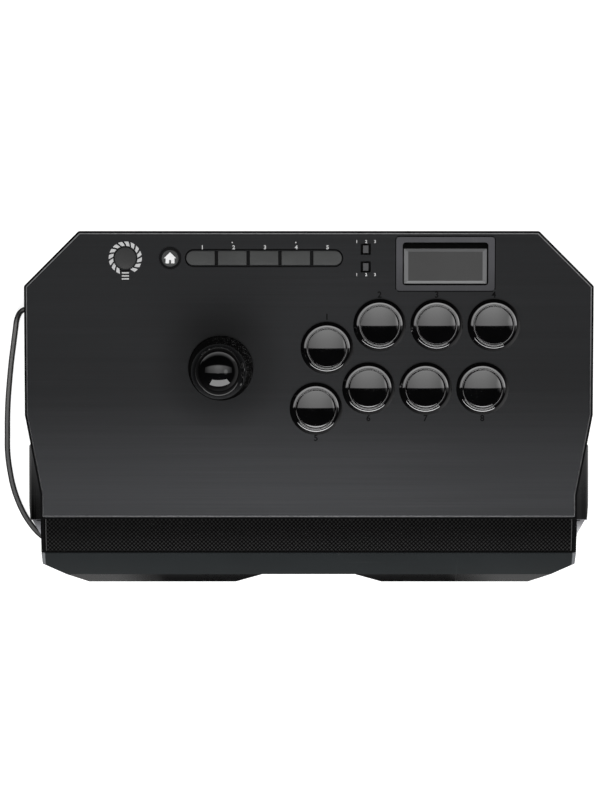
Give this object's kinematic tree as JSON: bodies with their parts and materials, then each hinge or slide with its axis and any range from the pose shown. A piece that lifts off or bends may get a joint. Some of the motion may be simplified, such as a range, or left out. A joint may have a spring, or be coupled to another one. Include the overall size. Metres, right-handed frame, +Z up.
{
  "type": "arcade fight stick",
  "caption": "Low angular arcade controller with a ball lever, round push buttons, a row of function keys, a touchpad and a textured palm rest on a sloped metal top.",
  "frame": {"origin": "middle of the footprint, on the table that the rubber feet stand on", "axes": "+X to the player's right, +Y away from the player, +Z up"},
  "size_m": [0.3859, 0.2292, 0.1042],
  "materials": {
    "black_shell": "fine moulded texture",
    "panel_metal": "dark brushed",
    "palm_texture": "small raised squares",
    "front_trim": "smooth satin",
    "rubber": "matte",
    "screw_steel": "zinc plated",
    "black_plastic": "satin",
    "board_green": "lacquered board",
    "switch_grey": "satin",
    "switch_black": "satin",
    "gate_grey": "satin",
    "plate_steel": "zinc plated",
    "bezel_grey": "satin",
    "gloss_black": "high gloss",
    "cord_jacket": "matte",
    "key_grey": "satin",
    "pad_grey": "fine matte",
    "white_nylon": "satin"
  },
  "bodies": {
    "housing": {"base_shell": "black_shell", "upper_shell": "black_shell", "top_panel": "panel_metal", "palm_rest": "palm_texture", "front_bar": "front_trim", "rubber_feet": "rubber", "base_screws": "screw_steel", "headset_socket": "black_plastic", "main_board": "board_green", "board_screws": "screw_steel", "key_bezel": "black_plastic", "key_board": "board_green", "key_switches": "switch_grey", "touch_bezel": "bezel_grey", "touch_board": "board_green", "lever_plate": "plate_steel", "lever_nuts": "screw_steel", "lever_housing": "black_plastic", "lever_board": "board_green", "lever_switches": "switch_black", "lever_gate": "gate_grey", "button_cases": "gloss_black", "button_switches": "switch_black", "cord_gland": "rubber", "cord_run": "cord_jacket", "cord_coil": "cord_jacket", "usb_plug": "black_plastic", "lever_spring": "screw_steel"},
    "button_1": {"plunger_1": "gloss_black"},
    "button_2": {"plunger_2": "gloss_black"},
    "button_3": {"plunger_3": "gloss_black"},
    "button_4": {"plunger_4": "gloss_black"},
    "button_5": {"plunger_5": "gloss_black"},
    "button_6": {"plunger_6": "gloss_black"},
    "button_7": {"plunger_7": "gloss_black"},
    "button_8": {"plunger_8": "gloss_black"},
    "home_button_body": {"home_button": "key_grey"},
    "options_button_body": {"options_button": "key_grey"},
    "function_key_1_body": {"function_key_1": "key_grey"},
    "function_key_2_body": {"function_key_2": "key_grey"},
    "function_key_3_body": {"function_key_3": "key_grey"},
    "function_key_4_body": {"function_key_4": "key_grey"},
    "function_key_5_body": {"function_key_5": "key_grey"},
    "touchpad_body": {"touchpad": "pad_grey"},
    "mode_slider_body": {"mode_slider": "black_plastic"},
    "stick_slider_body": {"stick_slider": "black_plastic"},
    "pivot": {"lever_pivot": "white_nylon"},
    "lever": {"lever_shaft": "plate_steel", "ball_top": "gloss_black", "shaft_cover": "black_plastic", "lever_actuator": "white_nylon", "lever_clip": "screw_steel"},
    "glide": {"washer_glide": "black_plastic"},
    "washer": {"dust_washer": "black_plastic"}
  },
  "joints": [
    {"name": "button_1_press", "type": "slide", "parent": "housing", "child": "button_1", "axis": [0, -0.0698, 0.9976], "range_m": [-0.0022, 0], "stiffness_N_per_m": 250, "springref_m": 0.002},
    {"name": "button_2_press", "type": "slide", "parent": "housing", "child": "button_2", "axis": [0, -0.0698, 0.9976], "range_m": [-0.0022, 0], "stiffness_N_per_m": 250, "springref_m": 0.002},
    {"name": "button_3_press", "type": "slide", "parent": "housing", "child": "button_3", "axis": [0, -0.0698, 0.9976], "range_m": [-0.0022, 0], "stiffness_N_per_m": 250, "springref_m": 0.002},
    {"name": "button_4_press", "type": "slide", "parent": "housing", "child": "button_4", "axis": [0, -0.0698, 0.9976], "range_m": [-0.0022, 0], "stiffness_N_per_m": 250, "springref_m": 0.002},
    {"name": "button_5_press", "type": "slide", "parent": "housing", "child": "button_5", "axis": [0, -0.0698, 0.9976], "range_m": [-0.0022, 0], "stiffness_N_per_m": 250, "springref_m": 0.002},
    {"name": "button_6_press", "type": "slide", "parent": "housing", "child": "button_6", "axis": [0, -0.0698, 0.9976], "range_m": [-0.0022, 0], "stiffness_N_per_m": 250, "springref_m": 0.002},
    {"name": "button_7_press", "type": "slide", "parent": "housing", "child": "button_7", "axis": [0, -0.0698, 0.9976], "range_m": [-0.0022, 0], "stiffness_N_per_m": 250, "springref_m": 0.002},
    {"name": "button_8_press", "type": "slide", "parent": "housing", "child": "button_8", "axis": [0, -0.0698, 0.9976], "range_m": [-0.0022, 0], "stiffness_N_per_m": 250, "springref_m": 0.002},
    {"name": "home_button_press", "type": "slide", "parent": "housing", "child": "home_button_body", "axis": [0, -0.0698, 0.9976], "range_m": [-0.0008, 0], "stiffness_N_per_m": 400, "springref_m": 0.001},
    {"name": "options_button_press", "type": "slide", "parent": "housing", "child": "options_button_body", "axis": [0, -0.0698, 0.9976], "range_m": [-0.0008, 0], "stiffness_N_per_m": 400, "springref_m": 0.001},
    {"name": "function_key_1_press", "type": "slide", "parent": "housing", "child": "function_key_1_body", "axis": [0, -0.0698, 0.9976], "range_m": [-0.0008, 0], "stiffness_N_per_m": 400, "springref_m": 0.001},
    {"name": "function_key_2_press", "type": "slide", "parent": "housing", "child": "function_key_2_body", "axis": [0, -0.0698, 0.9976], "range_m": [-0.0008, 0], "stiffness_N_per_m": 400, "springref_m": 0.001},
    {"name": "function_key_3_press", "type": "slide", "parent": "housing", "child": "function_key_3_body", "axis": [0, -0.0698, 0.9976], "range_m": [-0.0008, 0], "stiffness_N_per_m": 400, "springref_m": 0.001},
    {"name": "function_key_4_press", "type": "slide", "parent": "housing", "child": "function_key_4_body", "axis": [0, -0.0698, 0.9976], "range_m": [-0.0008, 0], "stiffness_N_per_m": 400, "springref_m": 0.001},
    {"name": "function_key_5_press", "type": "slide", "parent": "housing", "child": "function_key_5_body", "axis": [0, -0.0698, 0.9976], "range_m": [-0.0008, 0], "stiffness_N_per_m": 400, "springref_m": 0.001},
    {"name": "touchpad_click", "type": "slide", "parent": "housing", "child": "touchpad_body", "axis": [0, -0.0698, 0.9976], "range_m": [-0.0005, 0], "stiffness_N_per_m": 800, "springref_m": 0.001},
    {"name": "mode_slide", "type": "slide", "parent": "housing", "child": "mode_slider_body", "axis": [1, 0, 0], "range_m": [-0.0015, 0.0015]},
    {"name": "stick_slide", "type": "slide", "parent": "housing", "child": "stick_slider_body", "axis": [1, 0, 0], "range_m": [-0.0015, 0.0015]},
    {"name": "lever_tilt_x", "type": "hinge", "parent": "housing", "child": "pivot", "pos_m": [-0.057, 0.0272, 0.03482], "axis": [1, 0, 0], "range_deg": [-9, 9], "stiffness_Nm_per_rad": 0.5, "deforming": ["lever_spring"]},
    {"name": "lever_tilt_y", "type": "hinge", "parent": "pivot", "child": "lever", "pos_m": [-0.057, 0.0272, 0.03482], "axis": [0, 0.9976, 0.0698], "range_deg": [-9, 9], "stiffness_Nm_per_rad": 0.5},
    {"name": "glide_slide", "type": "slide", "parent": "housing", "child": "glide", "axis": [0, 0.9976, 0.0698], "range_m": [-0.00205, 0.00205]},
    {"name": "washer_slide", "type": "slide", "parent": "glide", "child": "washer", "axis": [1, 0, 0], "range_m": [-0.00215, 0.00215]}
  ],
  "couplings": [
    {"joint": "glide_slide", "follows": "lever_tilt_x", "m_per_rad": -0.0128},
    {"joint": "washer_slide", "follows": "lever_tilt_y", "m_per_rad": 0.0132}
  ]
}
